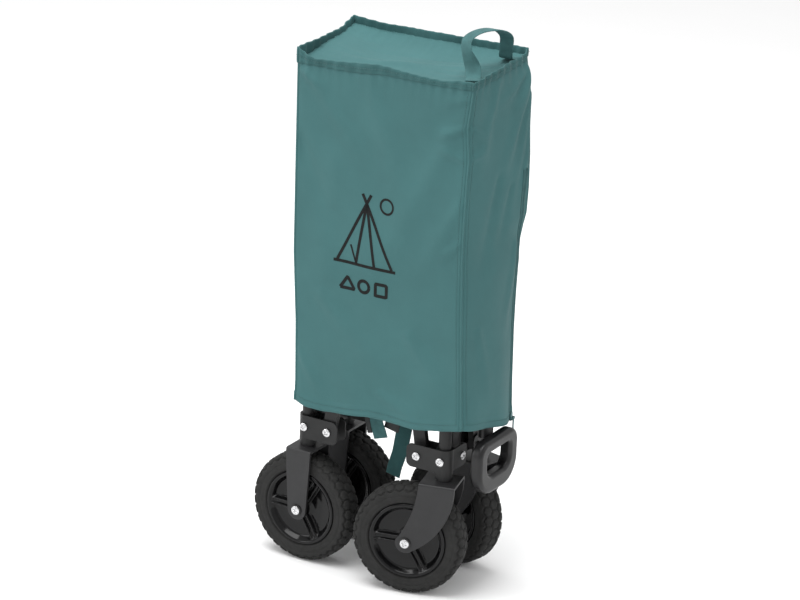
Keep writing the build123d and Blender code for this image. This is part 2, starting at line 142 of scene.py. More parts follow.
bpy.context.scene.view_settings.view_transform = "Standard"
world = bpy.data.worlds.new("daylight")
world.use_nodes = True
world.node_tree.nodes["Background"].inputs["Color"].default_value = (1.0, 1.0, 1.0, 1.0)
world.node_tree.nodes["Background"].inputs["Strength"].default_value = 0.78
bpy.context.scene.world = world
for name, place, size, power in (
    ("overhead", (-0.3, -0.4, 3.2), 2.4, 96.0),
    ("left_front", (-2.6, -2.6, 1.7), 1.6, 30.0),
    ("right_edge", (2.8, 1.2, 1.5), 1.0, 6.0),
):
    lamp = bpy.data.lights.new(name, "AREA")
    lamp.size = size
    lamp.energy = power
    holder = bpy.data.objects.new(name, lamp)
    bpy.context.scene.collection.objects.link(holder)
    outward = np.array(place) - (0.0, 0.0, 0.4)
    outward = outward / np.linalg.norm(outward)
    across = np.cross((0.02, 1.0, 0.0), outward)
    across = across / np.linalg.norm(across)
    lamp_turn = np.eye(4)
    lamp_turn[:3, 0] = across
    lamp_turn[:3, 1] = np.cross(outward, across)
    lamp_turn[:3, 2] = outward
    lamp_turn[:3, 3] = place
    holder.matrix_world = Matrix(lamp_turn.tolist())

sweep_mesh = bpy.data.meshes.new("floor")
sweep_mesh.from_pydata([(-15, -15, 0), (15, -15, 0), (15, 15, 0), (-15, 15, 0)], [], [(0, 1, 2, 3)])
sweep = bpy.data.objects.new("floor", sweep_mesh)
bpy.context.scene.collection.objects.link(sweep)
sweep_paper = finish("studio_paper", (0.96, 0.96, 0.96), 0.9, specular=0.1)
mottle(sweep_paper, 1.5, 0.008)
sweep_mesh.materials.append(sweep_paper)

# ---- Steel frame -------------------------------------------------------------------------
# Corner posts, telescopic legs, flat-oval scissor bars and pressed brackets, all powder coated
# matt black with a fine orange peel; the handle's tubes are the same but smoother.
frame_paint = finish("frame_powder_coat", (0.012, 0.0123, 0.0125), 0.5, specular=0.32)
mottle(frame_paint, 60.0, 0.12)
relief(frame_paint, texture(frame_paint, "ShaderNodeTexNoise", Scale=1400.0, Detail=3.0), 0.35, 0.00012)
relief(frame_paint, texture(frame_paint, "ShaderNodeTexNoise", Scale=90.0, Detail=2.0), 0.2, 0.0003)
patchy_gloss(frame_paint, 35.0, 0.40, 0.58)
tube_paint = finish("handle_tube_coat", (0.014, 0.014, 0.015), 0.35, coat=0.1, specular=0.4)
mottle(tube_paint, 30.0, 0.08)
relief(tube_paint, texture(tube_paint, "ShaderNodeTexNoise", Scale=900.0, Detail=3.0), 0.2, 0.0001)


def coat(prefixes, material, slot):
    """Give every node whose name starts with one of the prefixes a material. The slot argument is not used.
    """
    for name, part in nodes.items():
        if name.startswith(prefixes):
            if not part.material_slots:
                part.data.materials.append(material)
            for holder in part.material_slots:
                holder.material = material


coat(("post_", "inner_leg_", "side_bar_", "end_bar_", "lower_bracket_", "top_bracket_", "handle_bracket"),
     frame_paint, "frame_paint")
coat(("handle_tube_",), tube_paint, "frame_paint")

# ---- Forks -------------------------------------------------------------------------------
# Folded steel plate, charcoal satin coat: upright pairs at the fixed wheels, raked pairs at
# the casters.
fork_paint = finish("fork_satin_coat", (0.021, 0.021, 0.022), 0.44, specular=0.32)
mottle(fork_paint, 45.0, 0.10)
relief(fork_paint, texture(fork_paint, "ShaderNodeTexNoise", Scale=1100.0, Detail=3.0), 0.3, 0.00012)
patchy_gloss(fork_paint, 28.0, 0.34, 0.52)
coat(("fork_",), fork_paint, "fork_paint")

# ---- Screws ------------------------------------------------------------------------------
# Bright zinc-plated pan heads with a cross recess, through each bracket's side and end cheeks
# and the post.
def surface(name, patches, material, body, closed=True, smooth=True):
    """One object from grids of points in mm. A patch is (points, rows wrap, columns wrap[, uv]); its faces
    join neighbouring points, and a wrapped side joins its last line to its first. Doubles are merged."""
    vertices, faces, maps, start = [], [], [], 0
    for patch in patches:
        points, wrap_rows, wrap_columns = patch[:3]
        rows, columns = points.shape[:2]
        row_steps = np.arange(rows - 1 + wrap_rows)
        column_steps = np.arange(columns - 1 + wrap_columns)
        i, j = np.meshgrid(row_steps, column_steps, indexing="ij")
        after_i, after_j = i + 1, j + 1
        faces.append(start + np.stack((
            i * columns + j, after_i % rows * columns + j,
            after_i % rows * columns + after_j % columns, i * columns + after_j % columns,
        ), -1).reshape(-1, 4))
        if len(patch) > 3:
            uv = patch[3]
            corners_uv = (uv[i, j], uv[after_i, j], uv[after_i, after_j], uv[i, after_j])
            maps.append(np.stack(corners_uv, -2).reshape(-1, 2))
        else:
            maps.append(np.zeros((i.size * 4, 2)))
        vertices.append(points.reshape(-1, 3))
        start += rows * columns
    mesh = bpy.data.meshes.new(name)
    mesh.from_pydata(np.concatenate(vertices) * 0.001, [], np.concatenate(faces))
    mesh.uv_layers.new(name="cut").data.foreach_set("uv", np.concatenate(maps).astype(np.float32).ravel())
    shell = bmesh.new()
    shell.from_mesh(mesh)
    bmesh.ops.remove_doubles(shell, verts=shell.verts, dist=2e-6)
    if closed:
        bmesh.ops.recalc_face_normals(shell, faces=shell.faces)
    shell.to_mesh(mesh)
    shell.free()
    mesh.materials.append(material)
    if smooth:
        mesh.polygons.foreach_set("use_smooth", np.ones(len(mesh.polygons), bool))
    made = bpy.data.objects.new(name, mesh)
    bpy.context.scene.collection.objects.link(made)
    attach(made, body)
    return made


def unit(vectors):
    """Vectors divided by their lengths."""
    return vectors / np.maximum(np.linalg.norm(vectors, axis=-1, keepdims=True), 1e-9)


def ease(value):
    """Smooth step from 0 to 1: 3t^2 - 2t^3 on the value held between 0 and 1."""
    t = np.clip(value, 0.0, 1.0)
    return t * t * (3.0 - 2.0 * t)


bolt_steel = finish("zinc_plated_steel", (0.62, 0.62, 0.63), 0.24, metallic=1.0)
mottle(bolt_steel, 300.0, 0.10)
patchy_gloss(bolt_steel, 220.0, 0.16, 0.34)
relief(bolt_steel, texture(bolt_steel, "ShaderNodeTexNoise", Scale=1600.0, Detail=2.0), 0.15, 0.00008)


def pan_head(point, outward, radius, height, turn=0.6):
    """A pan head: rings from the middle to the rim, h(1 - 0.35 r^4) high, sunk 1.8 mm along a cross."""
    outward = unit(np.array(outward, float))
    first = unit(np.cross(outward, (0.3, 0.2, 1.0)))
    second = np.cross(outward, first)
    share = np.concatenate((np.linspace(0, 1, 20), np.ones(4)))[:, None]
    drop = np.concatenate((np.zeros(20), np.linspace(0, 1, 5)[1:]))[:, None]
    angle = np.linspace(0, 2 * np.pi, 56, endpoint=False)[None, :]
    a, b = radius * share * np.cos(angle), radius * share * np.sin(angle)
    one_slot = np.abs(a * np.cos(turn) + b * np.sin(turn))
    other_slot = np.abs(b * np.cos(turn) - a * np.sin(turn))
    across = np.minimum(one_slot, other_slot)
    recess = ease((0.20 * radius - across) / (0.09 * radius)) * ease((0.66 - share) / 0.1)
    up = height * (1 - 0.35 * share**4) * (1 - drop) - 1.8 * recess
    dome = np.array(point) + a[..., None] * first + b[..., None] * second + up[..., None] * outward
    return dome, False, True


def shank(start, end, radius):
    """A round bar between two points: a ring at each end, closed by a point at each end's middle."""
    start, end = np.array(start, float), np.array(end, float)
    along = unit(end - start)
    first = unit(np.cross(along, (0.3, 0.2, 1.0)))
    second = np.cross(along, first)
    angle = np.linspace(0, 2 * np.pi, 32, endpoint=False)[None, :, None]
    ring = np.cos(angle) * first + np.sin(angle) * second
    size = radius * np.array((0, 1, 1, 0))[:, None, None]
    place = np.stack((start, start, end, end))[:, None, :]
    return place + size * ring, False, True


corners = {
    "rear_left": (-102, 54),
    "rear_right": (-102, -54),
    "front_left": (132, 54),
    "front_right": (132, -54),
}
pivot_height = 214.0
for corner, (x, y) in corners.items():
    in_x = 1 if x < 15 else -1
    in_y = 1 if y < 0 else -1
    side_pin = np.array((x + 40.0 * in_x, y, pivot_height))
    end_pin = np.array((x, y + 30.0 * in_y, pivot_height))
    heads = [shank(side_pin - (0, 13.1, 0), side_pin + (0, 13.1, 0), 4.0),
             shank(end_pin - (12.1, 0, 0), end_pin + (12.1, 0, 0), 4.0),
             pan_head((x, y - in_y * 13.1, pivot_height), (0, -in_y, 0), 6.4, 3.4)]
    heads += [pan_head(side_pin + (0, 13.1 * s, 0), (0, s, 0), 6.4, 3.4, 0.6 + s) for s in (-1, 1)]
    heads += [pan_head(end_pin + (12.1 * s, 0, 0), (s, 0, 0), 6.4, 3.4, 0.2 + s) for s in (-1, 1)]
    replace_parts(surface(f"screws_{corner}", heads, bolt_steel, f"{corner}_corner"),
                f"corner_bolts_{corner}")

# ---- Tyres -------------------------------------------------------------------------------
# Foam rubber, matt, with three staggered rows of six-sided blocks that run out into lugs on
# the shoulders, and a smooth sidewall with two fine moulding lines.
tyre_rubber = finish("foam_tyre_rubber", (0.018, 0.018, 0.0175), 0.82, specular=0.3)
mottle(tyre_rubber, 120.0, 0.16)
relief(tyre_rubber, texture(tyre_rubber, "ShaderNodeTexNoise", Scale=700.0, Detail=4.0), 0.4, 0.0003)
patchy_gloss(tyre_rubber, 50.0, 0.70, 0.92)
wheel_radius = 85.0
tyre_half = 20.0
rim_seat = 58.5
shoulder = 11.0


def tread_section(count=104):
    """The tyre's half section as one closed line: sidewall, rounded shoulder, crowned tread and back, then
    the seat on the rim. Gives radius and width, with the arc length from the tread's middle."""
    bend = np.linspace(0, np.pi / 2, 15)
    side_r = np.linspace(rim_seat + 3, wheel_radius - shoulder, 12)[:-1]
    bend_r = wheel_radius - shoulder + shoulder * np.sin(bend)
    bend_w = shoulder - tyre_half - shoulder * np.cos(bend)
    right_r = np.concatenate(((rim_seat, rim_seat + 1.5), side_r, bend_r))
    right_w = np.concatenate(((-17, -19), np.full(11, -tyre_half), bend_w))
    tread_w = np.linspace(shoulder - tyre_half, tyre_half - shoulder, 26)[1:-1]
    radius = np.concatenate((right_r, np.full(24, wheel_radius), right_r[::-1]))
    width = np.concatenate((right_w, tread_w, -right_w[::-1]))
    run = np.concatenate(((0,), np.cumsum(np.hypot(np.diff(radius), np.diff(width)))))
    return radius, width, run - run[-1] / 2


def tread_depth(angle, run, radius, blocks=34):
    """How deep the groove is, in mm: the distance to the nearest cell's middle in a honeycomb, cut where it
    nears the cell's edge, faded out below the shoulder."""
    pitch = 2 * np.pi * wheel_radius / blocks
    tall = pitch * np.sqrt(3)
    along = angle * wheel_radius
    near = [(np.mod(along + shift * pitch / 2 + pitch / 2, pitch) - pitch / 2,
             np.mod(run + shift * tall / 2 + tall / 2, tall) - tall / 2) for shift in (0, 1)]
    reach = np.minimum(*[np.maximum(np.abs(a), np.abs(a) / 2 + np.abs(b) * np.sqrt(3) / 2) for a, b in near])
    groove = ease((reach - (pitch / 2 - 1.9)) / 1.2)
    lines = 0.7 * np.exp(-((radius - 70.5) / 0.7) ** 2) + 0.5 * np.exp(-((radius - 64.0) / 0.6) ** 2)
    return 2.4 * groove * ease((radius - 75.5) / 2.0) + lines


angle = np.linspace(0, 2 * np.pi, 408, endpoint=False)[:, None]
section_r, section_w, section_run = tread_section()
slope = unit(np.stack((np.gradient(section_w), -np.gradient(section_r)), -1))
depth = tread_depth(angle, section_run[None, :], section_r[None, :])
tyre_r = section_r - depth * slope[:, 0] * np.where(section_r > 60, 1, 0)
tyre_w = section_w - depth * slope[:, 1] * np.where(section_r > 60, 1, 0)
trail, yaw = 47.0, 14.0
wheels = {}
for corner, (x, y) in corners.items():
    turn = 0.0 if x < 0 else np.radians(-yaw if y > 0 else yaw)
    reach = 0.0 if x < 0 else trail
    hub = np.array((x - reach * np.cos(turn), y - reach * np.sin(turn), wheel_radius))
    forward = np.array((np.cos(turn), np.sin(turn), 0.0))
    sideways = np.array((-np.sin(turn), np.cos(turn), 0.0))
    wheels[corner] = (hub, forward, sideways)
    tyre = (hub + (tyre_r * np.cos(angle))[..., None] * forward + tyre_w[..., None] * sideways
            + (tyre_r * np.sin(angle))[..., None] * np.array((0.0, 0.0, 1.0)))
    tread = surface(f"tread_{corner}", [(tyre, True, True)], tyre_rubber, f"wheel_{corner}")
    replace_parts(tread, f"tyre_{corner}")

# ---- Rims --------------------------------------------------------------------------------
# Glossy black moulding, deeply dished on both faces, with three double-edged ribs from the hub
# to the lip and a plain bore on the axle bolt.
rim_plastic = finish("gloss_moulded_rim", (0.004, 0.004, 0.0043), 0.16, coat=0.05, specular=0.22)
mottle(rim_plastic, 25.0, 0.2)
patchy_gloss(rim_plastic, 18.0, 0.08, 0.2)
relief(rim_plastic, texture(rim_plastic, "ShaderNodeTexNoise", Scale=110.0, Detail=2.0), 0.25, 0.0004)
polar = np.linspace(0, 2 * np.pi, 264, endpoint=False)[:, None]
ring_r = np.concatenate(((5.1, 5.1, 6.2), np.linspace(7.5, 11.0, 4), np.linspace(12.0, 50.0, 26),
                         np.linspace(51.0, 57.5, 7), (58.3, 58.4)))[None, :]
dish = np.interp(ring_r, (5.1, 6.2, 11.0, 14.5, 20, 34, 47, 51.5, 53.5, 57, 58.3, 58.4),
                 (21.5, 22.5, 22.5, 12.5, 10.5, 10.0, 11.5, 17.5, 20.0, 20.2, 18.5, 16.5))
rib_raise = np.zeros((polar.size, ring_r.size))
for rib_angle in np.radians((180.0, 60.0, -60.0)):
    off = ring_r * np.sin(polar - rib_angle)
    ahead = np.cos(polar - rib_angle) > 0
    shape = ease((7.0 - np.abs(off)) / 1.6) - 0.55 * ease((3.4 - np.abs(off)) / 1.4)
    rib_raise = np.maximum(rib_raise, np.where(ahead, shape, 0.0))
between = ease((ring_r - 10.0) / 4.0) * ease((54.0 - ring_r) / 5.0)
face_w = dish + rib_raise * between * np.maximum(18.4 - dish, 0.0)
face_w[:, 0] = 0.0
face_w[:, -1] = 0.0
for corner, (hub, forward, sideways) in wheels.items():
    faces = []
    for side in (-1, 1):
        flat = hub + (ring_r * np.cos(polar))[..., None] * forward + (side * face_w)[..., None] * sideways
        faces.append((flat + (ring_r * np.sin(polar))[..., None] * np.array((0.0, 0.0, 1.0)), True, False))
    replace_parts(surface(f"dished_rim_{corner}", faces, rim_plastic, f"wheel_{corner}"),
                f"rim_{corner}")

# ---- Axle bolts --------------------------------------------------------------------------
# A zinc-plated bolt through each fork and hub, with its pan heads on black nylon collars.
collar_nylon = finish("black_nylon", (0.014, 0.014, 0.014), 0.5)
mottle(collar_nylon, 200.0, 0.2)
relief(collar_nylon, texture(collar_nylon, "ShaderNodeTexNoise", Scale=900.0), 0.3, 0.0002)
for corner, (hub, forward, sideways) in wheels.items():
    body = f"{corner}_corner" if corner.startswith("rear") else f"caster_{corner}"
    parts = [shank(hub - sideways * 28.6, hub + sideways * 28.6, 4.9)]
    parts += [pan_head(hub + sideways * 29.8 * s, sideways * s, 6.8, 3.0, 0.9 + s) for s in (-1, 1)]
    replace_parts(surface(f"axle_{corner}", parts, bolt_steel, body), f"axle_bolt_{corner}")
    collars = [shank(hub + sideways * 28.25 * s, hub + sideways * 30.2 * s, 8.6) for s in (-1, 1)]
    surface(f"axle_collars_{corner}", collars, collar_nylon, body, smooth=False)

# ---- Pull grip ---------------------------------------------------------------------------
# A closed D of thick black plastic on the end of the telescopic handle, finely grained.
grip_plastic = finish("grained_grip_plastic", (0.009, 0.009, 0.0095), 0.34, specular=0.35)
mottle(grip_plastic, 70.0, 0.15)
relief(grip_plastic, texture(grip_plastic, "ShaderNodeTexNoise", Scale=1200.0, Detail=2.0), 0.3, 0.0001)
patchy_gloss(grip_plastic, 30.0, 0.26, 0.44)
coat(("handle_grip",), grip_plastic, "grip_plastic")

# ---- Storage cover: walls ----------------------------------------------------------------
# Plain woven polyester, cut as four panels joined at the corners, slack over the frame and
# pushed out by the handle at its end; turned-up hem at the foot.
cover_cloth = finish("cover_woven_polyester", (0.047, 0.131, 0.134), 0.8, sheen=0.04, specular=0.2)
mottle(cover_cloth, 9.0, 0.055)
for direction in ("X", "Y"):
    thread = texture(cover_cloth, "ShaderNodeTexWave", "UV", Scale=330.0, Distortion=0.6, Detail=1.0)
    thread.bands_direction = direction
    relief(cover_cloth, thread, 0.22, 0.00012)
crinkle = texture(cover_cloth, "ShaderNodeTexNoise", Scale=55.0, Detail=5.0, Roughness=0.6)
relief(cover_cloth, crinkle, 0.35, 0.0012)
patchy_gloss(cover_cloth, 14.0, 0.70, 0.86)

half_depth = 76.0
rear_table = ((250, -114.5), (290, -113.5), (383, -115.5), (490, -121.8), (643, -122.7), (785, -123.2))
near_table = ((250, 169.8), (275, 169.4), (400, 163.5), (528, 159.1), (585, 159.6), (647, 161.5),
              (680, 163.1), (727, 159.2), (765, 163.9), (785, 166.1))
far_table = ((250, 169.0), (304, 167.0), (389, 165.0), (486, 166.5), (528, 168.6), (549, 172.4), (568, 177.0),
             (606, 178.6), (656, 178.1), (705, 175.4), (747, 174.8), (771, 170.2), (800, 165.5))
bulge_table = ((250, 15.5), (300, 17.5), (500, 18.0), (540, 13.0), (600, 8.0), (700, 6.0), (790, 5.0))
panel_starts = (-124, -76, -166, -76)
panel_lengths = (290, 152, 290, 152)
cloth_spans = (290.0, 154.0, 290.0, 154.0)
hem_tables = (
    ((-124, 258), (-104, 252.6), (-71, 250.9), (-40, 253.6), (4.6, 261), (56, 260.6), (86, 260.1),
     (133, 266.6), (161, 273.3), (170, 275)),
    ((-76, 275), (-16, 263.4), (41, 250.5), (62, 249.3), (76, 250)),
    ((-170, 250), (-100, 253), (-20, 251), (60, 255), (124, 254)),
    ((-76, 254), (-20, 251), (40, 255), (76, 258)),
)
seam_tables = (
    ((-124, 776), (-34, 778.3), (22, 783.9), (102, 783.7), (166, 785.3)),
    ((-76, 785.3), (-38, 790), (6, 795), (62, 797), (76, 802)),
    ((-166, 802), (-107, 800), (-6, 797), (71, 797), (124, 800)),
    ((-76, 800), (-46, 792), (0, 787), (76, 776)),
)


def read(table, at):
    """A table of (place, value) pairs read at any place, straight between its entries."""
    places, values = np.array(table, float).T
    return np.interp(at, places, values)


def outline(side, share, height):
    """Plan of the cover at a height. Side 0 is the right panel, 1 the handle end, 2 the left, 3 the rear;
    share runs from 0 to 1 along it. The end panel swells by a hump of sin(pi t)^0.8, the others by 2 mm."""
    rear, near, far = read(rear_table, height), read(near_table, height), read(far_table, height)
    swell = np.sin(np.pi * np.clip(share, 0, 1))
    if side == 0:
        return rear + (near - rear) * share, -half_depth - 2.0 * swell
    if side == 1:
        hump = read(bulge_table, height) * swell**0.8
        return near + (far - near) * share + hump, half_depth * (2 * share - 1)
    if side == 2:
        return far + (rear - far) * share, half_depth + 2.0 * swell
    return rear - 1.5 * swell, half_depth * (1 - 2 * share)


# Folds: where each starts and ends (mm along the panel, height), how wide it is, how far it stands out.
folds = (
    ((20, 765, 150, 610, 15, 2.6), (120, 775, 205, 560, 20, 2.2), (262, 710, 120, 430, 24, 3.0),
     (288, 727, 232, 706, 6, 3.0), (288, 679, 236, 694, 6, 2.6), (280, 610, 190, 440, 17, 2.4),
     (6, 660, 90, 500, 17, -2.4), (50, 430, 190, 300, 20, 2.6), (200, 400, 284, 300, 15, 2.4),
     (4, 340, 60, 262, 10, 2.4), (288, 560, 246, 520, 8, 2.0), (70, 640, 40, 380, 26, 1.8),
     (6, 765, 60, 740, 8, 2.2), (286, 770, 230, 752, 8, 1.8), (150, 300, 230, 268, 10, 2.0)),
    ((150, 784, 92, 706, 7, 4.2), (150, 776, 66, 628, 9, 4.2), (151, 764, 104, 600, 8, 3.6),
     (151, 748, 126, 560, 7, 3.6), (150, 788, 50, 742, 8, 3.2), (60, 785, 18, 640, 10, 3.0),
     (2, 729, 44, 700, 6, 3.6), (2, 681, 40, 692, 6, 3.0), (70, 640, 28, 470, 12, -3.4),
     (122, 530, 92, 380, 10, 2.4), (30, 420, 60, 290, 10, 2.0), (100, 620, 70, 520, 9, -2.2)),
    ((20, 780, 120, 600, 18, 2.6), (260, 760, 150, 520, 20, 2.6), (60, 500, 200, 330, 20, 2.4),
     (280, 420, 200, 280, 14, 2.2), (10, 620, 80, 560, 10, 2.2)),
    ((20, 780, 100, 660, 12, 2.2), (140, 640, 50, 480, 14, 2.4), (30, 420, 120, 300, 12, 2.0)),
)


def fold_field(side, along, height):
    """Sum of ridges: each h exp(-(d / w)^2), with d the distance to its segment, tapered along it."""
    start_a, start_z, end_a, end_z, wide, proud = np.array(folds[side], float).T
    a, z = along[..., None] - start_a, height[..., None] - start_z
    run_a, run_z = end_a - start_a, end_z - start_z
    share = (a * run_a + z * run_z) / (run_a**2 + run_z**2)
    held = np.clip(share, 0, 1)
    gap = np.hypot(a - held * run_a, z - held * run_z) / (wide * (0.6 + 0.9 * held))
    taper = np.where(held < 0.5, 1.0, 1.0 - ease((held - 0.45) / 0.6))
    return 1.3 * (proud * taper * np.exp(-gap**2)).sum(-1)


rows = 132
counts = (104, 72, 76, 46)
lift = np.linspace(0.0, 1.0, rows)[:, None]
wall_x, wall_y, wall_z, along_list, push, station_list, firsts = [], [], [], [], [], [], []
travel = 0.0
for side, count in enumerate(counts):
    even = np.linspace(0, 1, count, endpoint=False)
    share = even - 0.8 * np.sin(2 * np.pi * even) / (2 * np.pi)
    span = cloth_spans[side]
    across_panel = panel_starts[side] + panel_lengths[side] * share
    hem = read(hem_tables[side], across_panel)
    seam = read(seam_tables[side], across_panel)
    height = hem + (seam - hem) * lift
    x, y = (np.broadcast_to(part, height.shape) for part in outline(side, share[None, :], height))
    along = np.broadcast_to(span * share[None, :], height.shape)
    edge = np.minimum(along, span - along)
    inside = 1 - np.exp(-(edge / 7.0) ** 2)
    gather_wave = np.sin(2 * np.pi * along / 17 + 1.6 * np.sin(along / 31))
    gathers = 1.3 * np.exp(-(seam - height) / 14.0) * gather_wave
    waves = 2.0 * np.exp(-(height - hem) / 26.0) * np.sin(2 * np.pi * along / 92 + side)
    cloth = 0.5 * np.sin(along / 19 + height / 37) + 0.45 * np.sin(along / 43 - height / 23 + 2) \
        + 0.35 * np.sin(along / 11 + height / 61 + 1)
    hem_fold = 0.9 * (1 - ease((height - hem - 12.0) / 2.5))
    seam_groove = 1.1 if side < 2 else 0.6
    seam_ridge = 0.5 * np.exp(-(edge / 2.0) ** 2) - seam_groove * np.exp(-((edge - 2.6) / 1.0) ** 2)
    wall_x.append(x)
    wall_y.append(y)
    wall_z.append(height)
    push.append((fold_field(side, along, height) + gathers + waves + cloth) * inside + hem_fold + seam_ridge)
    along_list.append(travel + along[0])
    station_list.append(np.append(share, 1.0))
    firsts.append(sum(counts[:side]))
    travel += span
wall = np.stack([np.concatenate(part, 1) for part in (wall_x, wall_y, wall_z)], -1)
wall_along = np.concatenate(along_list)
run_along = np.roll(wall, -1, 1) - np.roll(wall, 1, 1)
wall_out = unit(np.stack((run_along[..., 1], -run_along[..., 0], np.zeros(wall.shape[:2])), -1))
wall = wall + wall_out * np.concatenate(push, 1)[..., None]


def on_wall(side, share, height, proud=0.0):
    """Points on the cover's outside, by share along a panel and height, read between the wall's own grid
    points and set proud of them; gives the points and the way out."""
    share, height = np.broadcast_arrays(np.asarray(share, float), np.asarray(height, float))
    stations = station_list[side]
    column = firsts[side] + np.interp(share, stations, np.arange(stations.size))
    left = np.floor(column).astype(int)
    part = (column - left)[..., None]
    total = wall.shape[1]
    left, right = left % total, (left + 1) % total
    foot = wall[0, left, 2] * (1 - part[..., 0]) + wall[0, right, 2] * part[..., 0]
    head = wall[-1, left, 2] * (1 - part[..., 0]) + wall[-1, right, 2] * part[..., 0]
    row = np.clip((height - foot) / (head - foot), 0, 1) * (rows - 1)
    low = np.minimum(row.astype(int), rows - 2)
    rise = (row - low)[..., None]

    def blend(grid):
        return ((grid[low, left] * (1 - part) + grid[low, right] * part) * (1 - rise)
                + (grid[low + 1, left] * (1 - part) + grid[low + 1, right] * part) * rise)

    out = unit(blend(wall_out))
    return blend(wall) + out * proud, out


wall_uv = np.stack((np.broadcast_to(np.append(wall_along, travel) * 0.001, (rows, wall_along.size + 1)),
                    np.broadcast_to(np.linspace(0.25, 0.79, rows)[:, None], (rows, wall_along.size + 1))), -1)
cover_walls = surface("cover_walls", [(wall, False, True, wall_uv)], cover_cloth, "cover",
                      closed=False)
cover_walls.data.flip_normals()
thick = cover_walls.modifiers.new("cloth_thickness", "SOLIDIFY")
thick.thickness = 0.0012
thick.offset = -1.0
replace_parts(cover_walls, "storage_cover")
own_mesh(cover_walls)

# ---- Storage cover: top ------------------------------------------------------------------
# One panel of the same cloth, sewn to the walls, sagging between them, with light creases that
# run from the handle end.
top_share = np.linspace(0, 1, 120)[None, :]
top_depth = np.linspace(0, 1, 64)[:, None]
front_edge, _ = on_wall(0, top_share[0], 2000.0)
end_edge, _ = on_wall(1, top_depth[:, 0], 2000.0)
back_edge, _ = on_wall(2, 1 - top_share[0], 2000.0)
rear_edge, _ = on_wall(3, 1 - top_depth[:, 0], 2000.0)
s, t = top_share[..., None], top_depth[..., None]
# Coons patch: both pairs of edges blended, less the blend of the four corners.
top = (front_edge[None] * (1 - t) + back_edge[None] * t + rear_edge[:, None] * (1 - s) + end_edge[:, None] * s
       - (front_edge[0] * (1 - s) * (1 - t) + front_edge[-1] * s * (1 - t) + back_edge[0] * (1 - s) * t
          + back_edge[-1] * s * t))
top_x, top_y = top[..., 0], top[..., 1]
hold = (1 - (2 * top_share - 1) ** 6) * (1 - (2 * top_depth - 1) ** 4)
creases = 2.2 * np.exp(-((top_y - 0.22 * (top_x - 150) - 18) / 9) ** 2) \
    + 1.8 * np.exp(-((top_y - 0.06 * (top_x - 150) + 8) / 7) ** 2) \
    + 1.6 * np.exp(-((top_y + 0.16 * (top_x - 150) + 38) / 8) ** 2) \
    - 1.4 * np.exp(-((top_y - 0.12 * (top_x - 150) - 44) / 8) ** 2) \
    + 0.9 * np.sin(top_x / 17 + top_y / 29) + 0.7 * np.sin(top_x / 31 - top_y / 13)
fade = ease((top_x + 120) / 160)
top[..., 2] += hold * (creases * (0.35 + 0.65 * fade) - 9.0 * (1 - (2 * top_share - 1) ** 2))
top_u = np.broadcast_to(top_share * 0.29, top_x.shape)
top_v = np.broadcast_to(top_depth * 0.152, top_x.shape)
top_uv = np.stack((top_u, top_v), -1)
cover_top = surface("cover_top", [(top, False, False, top_uv)], cover_cloth, "cover",
                    closed=False)
if cover_top.data.polygons[0].normal.z < 0:
    cover_top.data.flip_normals()
thick = cover_top.modifiers.new("cloth_thickness", "SOLIDIFY")
thick.thickness = 0.0012
thick.offset = -1.0
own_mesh(cover_top)

# ---- Storage cover: binding round the top ------------------------------------------------
# The top seam stands up as a bound edge, folded webbing tape sewn with one row of stitches.
binding_cloth = finish("cover_binding_tape", (0.036, 0.105, 0.107), 0.8, sheen=0.05, specular=0.2)
mottle(binding_cloth, 40.0, 0.12)
binding_ribs = texture(binding_cloth, "ShaderNodeTexWave", "UV", Scale=160.0, Distortion=0.4)
relief(binding_cloth, binding_ribs, 0.4, 0.0002)
relief(binding_cloth, texture(binding_cloth, "ShaderNodeTexNoise", Scale=300.0, Detail=4.0), 0.3, 0.0004)
standing_tables = (
    ((-124, 797), (-95, 785), (-35, 790), (13, 795.5), (48, 793), (102, 790), (118, 789.5), (142, 794),
     (166, 795.5)),
    ((-76, 795.5), (-38, 801.5), (6, 805.6), (62, 806), (76, 812)),
    ((-166, 812), (-107, 810.5), (-6, 808), (71, 807.8), (124, 811)),
    ((-76, 811), (-46, 800), (0, 797.5), (76, 797)),
)
standing = []
for side in range(4):
    places = panel_starts[side] + panel_lengths[side] * station_list[side][:-1]
    standing.append(read(standing_tables[side], places))
standing = np.concatenate(standing)
seam_line = wall[-1]
seam_out = wall_out[-1]
ring = np.linspace(0, 2 * np.pi, 14, endpoint=False)[None, :]
offset = 1.3 * np.sign(np.cos(ring)) * np.abs(np.cos(ring)) ** 0.5
rise = 0.5 + 0.5 * np.sign(np.sin(ring)) * np.abs(np.sin(ring)) ** 0.6
tall = (standing - seam_line[:, 2] + 2.5)[:, None]
lean = 1.5 * np.sin(wall_along / 23.0)[:, None] + 0.35 * np.sin(wall_along / 9.0)[:, None]
binding = seam_line[:, None] + seam_out[:, None] * (offset + 0.4 + lean * rise)[..., None]
binding[..., 2] += tall * rise - 2.5
binding_u = np.append(wall_along, travel)[:, None] * 0.001
binding_v = np.linspace(0, 0.03, 15)[None, :]
binding_uv = np.stack(np.broadcast_arrays(binding_u, binding_v), -1)
cover_binding = surface("cover_binding", [(binding, True, True, binding_uv)], binding_cloth, "cover")
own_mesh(cover_binding)

# ---- Storage cover: stitches -------------------------------------------------------------
# Lock stitches of thick thread, 2.6 mm long every 4 mm, along the binding, the hem and both
# sides of the corner seam between the right panel and the handle end.
thread_cloth = finish("sewing_thread", (0.04, 0.11, 0.112), 0.7, sheen=0.1, specular=0.3)
mottle(thread_cloth, 500.0, 0.15)
relief(thread_cloth, texture(thread_cloth, "ShaderNodeTexNoise", Scale=1500.0), 0.3, 0.0001)


